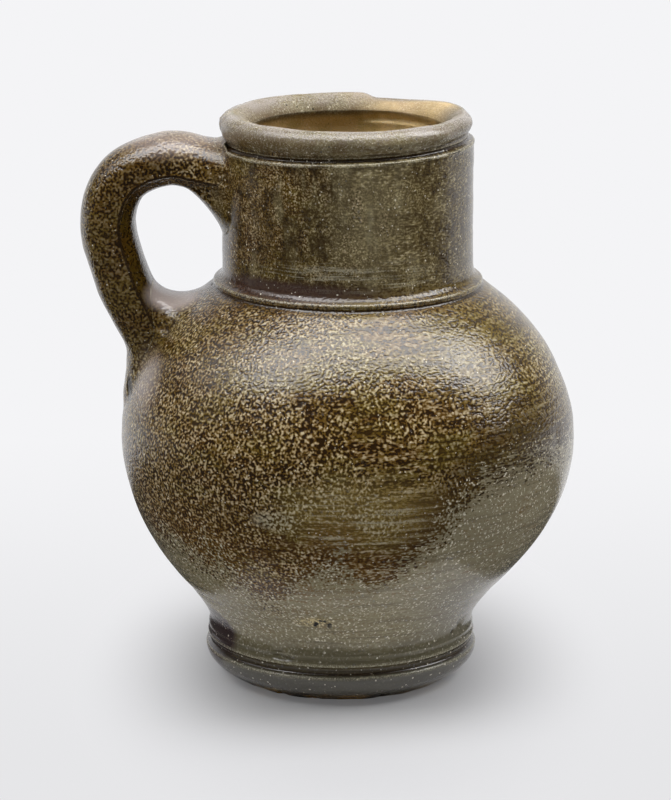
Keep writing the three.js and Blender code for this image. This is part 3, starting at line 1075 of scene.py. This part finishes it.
# %% [markdown]
# ## Rim, mouth and base
# The rim is worn to bare grey clay on top and blotched brown below. Inside, the wall is orange at the worn
# side and brown at the back, and both are painted lighter than that clay: painted light, as little light
# reaches into the mouth. The underside stood on the kiln shelf, so no glass reached it: it is bare clay,
# with a ragged brown line round it where the vapour crept under.

# %% Rim
rim_blotch = rim_zone * (swell + (grain - 0.5) * 0.8).step(0.42, 0.6)
worn_top = height.step(161, 164.5) * (grain + (swell - 0.5)).step(0.25, 0.7)
skin.lay(rim_blotch * 0.8, RIM_BROWN)
skin.lay(rim_zone * (grain + worm * 0.6).step(0.9, 1.05) * 0.45, GREY_BEAD)
skin.lay(rim_zone * (grain * 0.8 + worm).step(0.78, 0.66) * 0.55, RIM_BROWN)
skin.lay(worn_top * 0.75, BARE_CLAY)
glaze.report("rim")

# %% Mouth
browned = (swell + (grain - 0.5) * 0.8 + (run - 0.5)).step(0.4, 0.65)
inner = Layers(INSIDE_ORANGE_LIT)
inner.lay(browned * 0.7, INSIDE_BROWN_LIT)
inner.lay(height.step(157, 161) * (0.5 + (cloud - 0.5) * 2).limited(), PINK_CLAY)
inner.lay((grain + worm * 0.7).step(0.92, 1.1) * 0.3, SPECK)
inner.lay((grain + round_worm).step(0.86, 0.66) * 0.4, RIM_BROWN)
worn_side = (rightward + (cloud - 0.5) * 24).step(-2, 18) * backward.step(0, 16)
skin.lay(mouth * (height.step(160.5, 158) * 0.9 + worn_side * 0.85).limited(), inner.colour)
glaze.report("mouth")

# %% Base
foot_edge = (height + (cloud - 0.5) * 5).step(3.4, 1.4)
base_skin = Layers(BASE_CLAY)
base_skin.lay((cloud + (grain - 0.5) * 0.5).step(0.42, 0.66) * 0.7, BASE_DUST)
# On the base the pits are darkened as well: painted shade.
base_skin.lay(pits * 0.5, FOOT_DARK)
skin.lay(foot_edge * 0.9, glaze.blend(swell.step(0.45, 0.6), FOOT_DARK, FOOT_OCHRE))
skin.lay(under, base_skin.colour)
glaze.report("base")

# %% [markdown]
# ## Relief and shine
# The big forms are in the mesh. What is left for the bump is a tenth of a millimetre high: the beads, the
# finest rings and the pits. The index of the glass is set a little above the usual 1.5, for a stronger
# sheen, and only worn clay, pits and the inside are rougher than the rest.

# %% Relief and shine
BUMP_STRENGTH = 0.6
BUMP_HEIGHT = 0.1 * MM
GLOSS = 0.18
GLASS_INDEX = 1.6

relief = bead * (0.3 + wash * 0.5) * (1 - neck_zone * 0.4) * (1 - under) + grain * (0.15 + under * 0.6)
relief = relief + ring * 1.4 + rim_zone * (worm + grain) * 0.9 - pits * 1.5 - slit * 6
glaze.give("Base Color", skin.colour)
bump = {"Strength": BUMP_STRENGTH, "Distance": BUMP_HEIGHT, "Height": relief}
glaze.give("Normal", glaze.node("Bump", bump))
shine = GLOSS + (grain - 0.5) * 0.1 + pits * 0.3 + mouth * 0.5 + rim_zone * 0.08 + under * 0.6
glaze.give("Roughness", shine)
glaze.give("IOR", GLASS_INDEX)
for piece in (body, handle, upper_web, lower_web):
    piece.data.materials.append(glaze.material)
print("the glaze has", len(glaze.tree.nodes), "nodes")

# %% [markdown]
# ## The table
# The jug stands on white paper that sweeps up behind it, which draws a soft pale edge down both its sides.
# The paper has three tones here. The camera sees it pale, with the jug's shadow round the foot. Mirrored in
# the glaze it is pale only behind the jug. As a source of light it is dimmer, as the real sheet is small.
# Black cards lie a millimetre above it, where only the glaze sees them, so that the lower belly stays dark.
# One plain white floor would be simpler, but the belly would mirror it and lose its brown.

# %% Sheets


def sheet(name, corners, finish):
    """A flat rectangle of the set, from one corner to the other."""
    made = bmesh.new()
    bmesh.ops.create_grid(made, x_segments=1, y_segments=1, size=0.5)
    (left, front), (right, back), up = corners
    bmesh.ops.scale(made, vec=(right - left, back - front, 1), verts=made.verts)
    bmesh.ops.translate(made, vec=((left + right) / 2, (front + back) / 2, up), verts=made.verts)
    data = bpy.data.meshes.new(name)
    made.to_mesh(data)
    made.free()
    data.materials.append(finish.material)
    flat = put(name, data)
    return flat


def from_rays(nodes, kind):
    """1 for the rays of one kind: those of the camera, of soft light, or of mirror images."""
    return nodes.node("LightPath", output={"camera": 0, "diffuse": 2, "mirror": 3}[kind])


# %% Paper
PAPER_NEAR = colour(158, 158, 161)
PAPER_MIDDLE = colour(222, 222, 225)
PAPER_SEEN = colour(174, 174, 176)
PAPER_HAZE = colour(230, 230, 232)
PAPER_FAR = colour(244, 244, 246)
PAPER_ROUGHNESS = 0.9

paper = Finish("white_paper")
spread = paper.node("TexCoord", output=3)
depth = paper.part(spread, 1)
reach = paper.vector("LENGTH", spread, output=1)
in_picture = from_rays(paper, "camera")
bounce = paper.blend(depth.step(-0.15, 0.05), PAPER_NEAR, PAPER_MIDDLE)
bounce = paper.blend(from_rays(paper, "diffuse") * reach.step(0.09, 0.05), bounce, PAPER_FAR)
paper.give("Base Color", paper.blend(in_picture, bounce, PAPER_SEEN))
paper.give("Roughness", PAPER_ROUGHNESS)
paper.give("Specular IOR Level", 0.0)
paper.report("paper")

# %% Haze over the paper, away from the foot
far_off = (depth.step(-0.1, 0.3) + reach.step(0.25, 0.6)).limited()
glow_colour = paper.blend(far_off, PAPER_HAZE, PAPER_FAR)
glow = paper.node("Emission", {"Color": glow_colour, "Strength": 1.0})
mirrored = from_rays(paper, "mirror") * reach.step(0.07, 0.26) * depth.step(-0.1, 0.12)
round_foot = paper.vector("LENGTH", paper.vector("MULTIPLY", spread, (1.5, 0.75, 1)), output=1)
shown = (in_picture * (round_foot.step(0.04, 0.12) * 0.88 + 0.12) + mirrored).limited()
lit = Value(paper, paper.shader.outputs[0])
both = paper.node("MixShader", {0: shown, 1: lit, 2: glow})
paper.feed(paper.tree.nodes["Material Output"].inputs[0], both)
sheet("floor", ((-4, -4), (4, 6), 0.0), paper)
paper.report("haze")

# %% Black cards
CARD_BLACK = colour(30, 30, 30)
CARD_HEIGHT = 1 * MM
CARD_FRONT = -0.055

card = Finish("black_card")
card.give("Base Color", CARD_BLACK)
card.give("Roughness", PAPER_ROUGHNESS)
for name, near_corner, far_corner in (
    ("front_card", (-1.2, -2.0), (1.2, CARD_FRONT)),
    ("left_card", (-1.2, CARD_FRONT), (-0.055, 0.16)),
    ("right_card", (0.06, CARD_FRONT), (1.2, 0.12)),
):
    black = sheet(name, (near_corner, far_corner, CARD_HEIGHT), card)
    black.visible_camera = False
    black.visible_shadow = False
    black.visible_diffuse = False
    print("laid the", name)

# %% [markdown]
# ## The light
# One wide soft box overhead draws a clean sheen on the shoulder, and a wider, weaker one round it makes the
# sheen fade at its edge. A small box on each side lights the edges of the neck. The fill in front lifts the
# whole jug, and no reflection sees it. The room is bright behind and nearly dark in front.

# %% Lamps
JUG_MIDDLE = Vector((0, 0, 0.1))


def panel(name, place, width, tall, watts):
    """A soft lamp that faces the jug."""
    light = bpy.data.lights.new(name, "AREA")
    light.shape = "RECTANGLE"
    light.size = width
    light.size_y = tall
    light.energy = watts
    lamp = put(name, light)
    lamp.location = place
    lamp.rotation_euler = (JUG_MIDDLE - Vector(place)).to_track_quat("-Z", "Y").to_euler()
    print("hung", name, "with", watts, "W")
    return lamp


panel("softbox_core", (0.03, -0.17, 1.12), 2.1, 0.64, 18)
panel("softbox_edge", (0.05, -0.18, 1.1), 2.6, 0.85, 8.5)
panel("softbox_left", (-1.05, 0.1, 0.9), 0.7, 0.7, 2)
panel("softbox_right", (1.25, 0.16, 1), 0.8, 0.7, 9)
front_fill = panel("front_fill", (0, -1.6, 0.15), 1.6, 0.5, 3.5)
front_fill.visible_glossy = False

# %% Surroundings
DARK_ROOM = 0.06

world = bpy.data.worlds.new("studio")
bpy.context.scene.world = world
world.use_nodes = True
room = Nodes(world.node_tree)
background = room.tree.nodes["Background"]
behind = room.part(room.node("TexCoord", output=0), 1)
strength = behind.step(0.48, 0.97) * (1 - DARK_ROOM) + DARK_ROOM
room.feed(background.inputs["Strength"], (strength + from_rays(room, "camera")).limited())
background.inputs["Color"].default_value = PAPER_FAR
print("the room has", len(room.tree.nodes), "nodes")

# %% [markdown]
# ## The camera
# The picture was taken from a good metre away, a little above the jug, with a long lens, so the jug hardly
# tapers towards the back. The lens is worked out from the picture's size in pixels, and the sensor is
# shifted a hair, because the jug stands right of the middle. Turning the camera would slant it.

# %% Camera
PICTURE = (671, 800)
FOCAL_PIXELS = 3800
AXIS_COLUMN = 347.8
SENSOR = 36.0
ELEVATION = math.radians(14.17)
DISTANCE = 1.0965
AIM_HEIGHT = 0.08074

optics = bpy.data.cameras.new("camera")
optics.sensor_width = SENSOR
optics.lens = FOCAL_PIXELS / PICTURE[1] * optics.sensor_width
optics.shift_x = (PICTURE[0] / 2 - AXIS_COLUMN) / PICTURE[1]
optics.clip_end = 50
camera = put("camera", optics)
camera.location = (0, -DISTANCE * math.cos(ELEVATION), AIM_HEIGHT + DISTANCE * math.sin(ELEVATION))
camera.rotation_euler = (math.pi / 2 - ELEVATION, 0, 0)
bpy.context.scene.camera = camera
bpy.context.scene.view_settings.view_transform = "Standard"
print("lens:", round(optics.lens), "mm")
